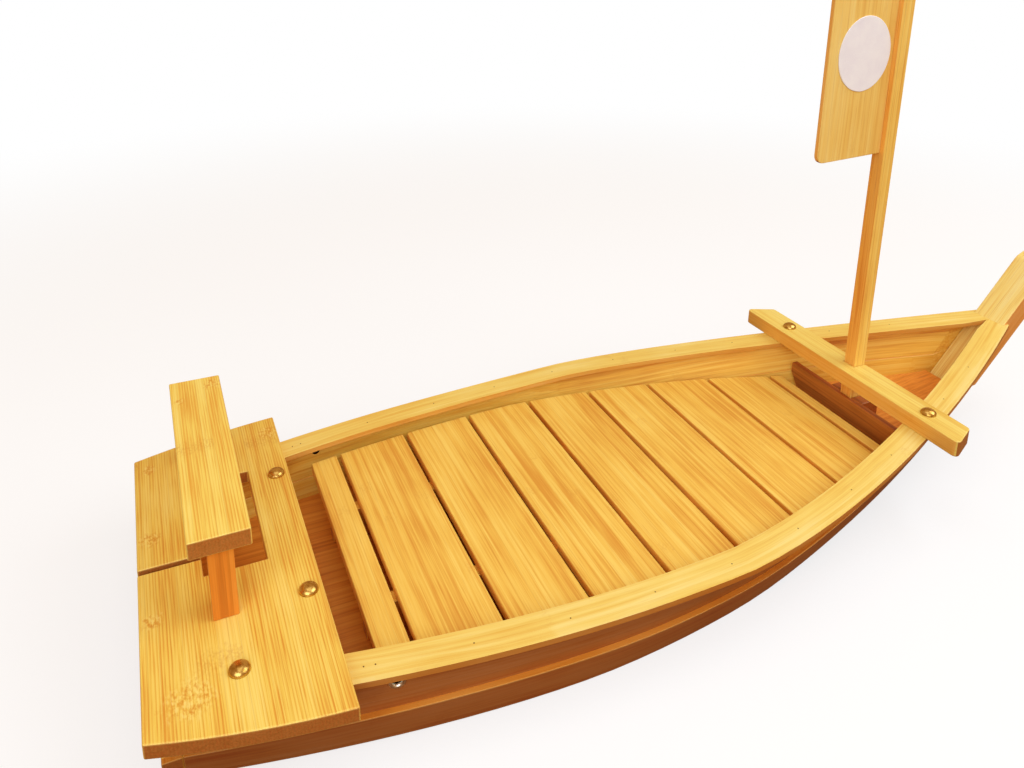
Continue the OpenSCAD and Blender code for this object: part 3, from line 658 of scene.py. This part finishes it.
def dark_steel():
    """Oxidised steel: dark brown with rust specks of 0.3 mm and a dull gloss."""
    material, tree = new_material("oxidised_steel")
    place = add(tree, "TexCoord").outputs["Object"]
    speck = add(tree, "TexNoise", {"Vector": place, "Scale": 3000.0, "Detail": 2.0})
    ramp = add(tree, "ValToRGB", {"Fac": speck})
    ramp.color_ramp.elements[0].color = linear("#5A3412")
    ramp.color_ramp.elements[1].color = linear("#8A5A2A")
    surface = add(tree, "BsdfPrincipled", {
        "Base Color": ramp, "Metallic": 0.5, "Roughness": 0.6})
    add(tree, "OutputMaterial", {"Surface": surface})
    return material


pin_places = [((x, side * (cap_line(x) - pin_inset), cap_top(x)), level)
              for side in (-1, 1) for x in pin_xs]
fittings("cap_brads", "hull", dark_steel(), spun(pin_profile, 12), pin_places)

# Eyelets
# Rolled eyelets of nickel-plated brass in the upper strakes, for a carrying cord. Each looks
# along its strake's outward direction: out from the lean, and turned a little aft.
eyelet_x = 21.8
eyelet_y = 99.73
eyelet_z = 36.42
lean = math.radians(5.39)
turn = 0.1576
bore_r = 2.25
tube_r = 2.75
tube_depth = 6.9
rim_r = 3.5
rim_half_width = 0.7
rim_half_height = 0.35
rim_up = 0.4
roll = np.linspace(-np.pi / 2, np.pi * 0.75, 12)
eyelet_profile = np.concatenate([
    [(tube_r, -tube_depth), (tube_r, 0.0)],
    np.stack([rim_r + rim_half_width * np.cos(roll), rim_up + rim_half_height * np.sin(roll)],
             1),
    [(bore_r, 0.0), (bore_r, -tube_depth), (tube_r, -tube_depth)]])
eyelet_places = []
for side in (-1, 1):
    out = np.array([-turn, side * 1.0, -math.tan(lean)])
    out /= np.linalg.norm(out)
    ahead = np.cross([0, 0, 1.0], out)
    ahead /= np.linalg.norm(ahead)
    up = np.cross(out, ahead)
    eyelet_places.append(((eyelet_x, side * eyelet_y, eyelet_z), (ahead, up, out)))
plated_brass = brass("nickel_plated_brass", "#CFC6B0", "#EFE8D8")
fittings("brass_eyelets", "hull", plated_brass, spun(eyelet_profile, 32),
         eyelet_places, ["eyelets"], closed=False)

# Table
# A white paper sweep under the boat. It shows white, keeps the shadow and throws back
# little light.
reach = 4.0
below_keel = 0.0002
sweep, tree = new_material("white_paper_sweep")
place = add(tree, "TexCoord").outputs["Object"]
away = add(tree, "VectorMath", (place,), operation="LENGTH").outputs["Value"]
shadow_share = add(tree, "MapRange", {
    "Value": away, "From Min": 0.5, "From Max": 1.3, "To Min": 0.3, "To Max": 0.0},
    interpolation_type="SMOOTHSTEP")
paper_white = add(tree, "BsdfDiffuse", {"Color": linear("#FFFFFF")})
plain_white = add(tree, "Emission", {"Color": linear("#FFFFFF"), "Strength": 1.0})
shown = add(tree, "MixShader", (shadow_share, plain_white, paper_white))
thrown = add(tree, "BsdfDiffuse", {"Color": linear("#8A6242")})
first_seen = add(tree, "LightPath").outputs["Is Camera Ray"]
surface = add(tree, "MixShader", (first_seen, thrown, shown))
add(tree, "OutputMaterial", {"Surface": surface})
sweep_mesh = bpy.data.meshes.new("paper_sweep")
sweep_mesh.from_pydata(
    [(-reach, -reach, 0), (reach, -reach, 0), (reach, reach, 0), (-reach, reach, 0)],
    [], [(0, 1, 2, 3)])
sweep_mesh.materials.append(sweep)
paper_sweep = bpy.data.objects.new("paper_sweep", sweep_mesh)
paper_sweep.location.z = -below_keel
bpy.context.scene.collection.objects.link(paper_sweep)

# Light
# A large soft light over the bow, a second one beside the camera and a small one above, in a
# warm room whose backdrop shows white.
world = bpy.data.worlds.new("warm_room")
bpy.context.scene.world = world
world.use_nodes = True
world.node_tree.nodes.clear()
tree = world.node_tree
backdrop = add(tree, "Background", {"Color": linear("#FFFFFF"), "Strength": 1.0})
room = add(tree, "Background", {"Color": linear("#FFCE96"), "Strength": 0.57})
first_seen = add(tree, "LightPath").outputs["Is Camera Ray"]
surround = add(tree, "MixShader", (first_seen, room, backdrop))
add(tree, "OutputWorld", {"Surface": surround})


def softbox(name, place, width, height, watts):
    """A rectangular area light at a place in metres, turned to the origin."""
    light = bpy.data.lights.new(name, "AREA")
    light.color = linear("#DFF0FF")[:3]
    light.shape = "RECTANGLE"
    light.size = width
    light.size_y = height
    light.energy = watts
    lamp = bpy.data.objects.new(name, light)
    back = np.array(place) / np.linalg.norm(place)
    across = np.cross([0, 0, 1], back)
    across /= np.linalg.norm(across)
    up = np.cross(back, across)
    lamp.matrix_world = Matrix([
        [across[i], up[i], back[i], place[i]] for i in range(3)] + [[0, 0, 0, 1]])
    bpy.context.scene.collection.objects.link(lamp)


softbox("softbox_over_bow", (0.85, -0.45, 1.15), 1.2, 1.0, 12.5)
softbox("softbox_beside_camera", (-0.8, -1.08, 0.88), 1.3, 1.0, 11.8)
softbox("softbox_above", (-0.2, 0.0, 1.35), 0.9, 0.7, 2.6)

# Camera
# It stands where the photograph's perspective puts it, with the lens shifted as the crop is.
picture = (1024, 768)
focal_px = 854.3
centre_px = (517.5, 162.4)
eye = np.array([-0.3237, -0.4079, 0.3791])
yaw, pitch, roll_angle = (math.radians(a) for a in (24.312, 16.116, 0.798))
ahead = np.array([math.sin(yaw) * math.cos(pitch), math.cos(yaw) * math.cos(pitch),
                  -math.sin(pitch)])
level_right = np.array([math.cos(yaw), -math.sin(yaw), 0.0])
level_up = np.cross(level_right, ahead)
right = math.cos(roll_angle) * level_right + math.sin(roll_angle) * level_up
above = -math.sin(roll_angle) * level_right + math.cos(roll_angle) * level_up
lens = bpy.data.cameras.new("photograph")
lens.sensor_width = 36.0
lens.sensor_fit = "HORIZONTAL"
lens.lens = focal_px / picture[0] * lens.sensor_width
lens.shift_x = (picture[0] / 2 - centre_px[0]) / picture[0]
lens.shift_y = (centre_px[1] - picture[1] / 2) / picture[0]
lens.clip_start = 0.01
camera = bpy.data.objects.new("photograph", lens)
camera.matrix_world = Matrix([
    [right[i], above[i], -ahead[i], eye[i]] for i in range(3)] + [[0, 0, 0, 1]])
bpy.context.scene.collection.objects.link(camera)
bpy.context.scene.camera = camera
bpy.context.scene.view_settings.view_transform = "Standard"
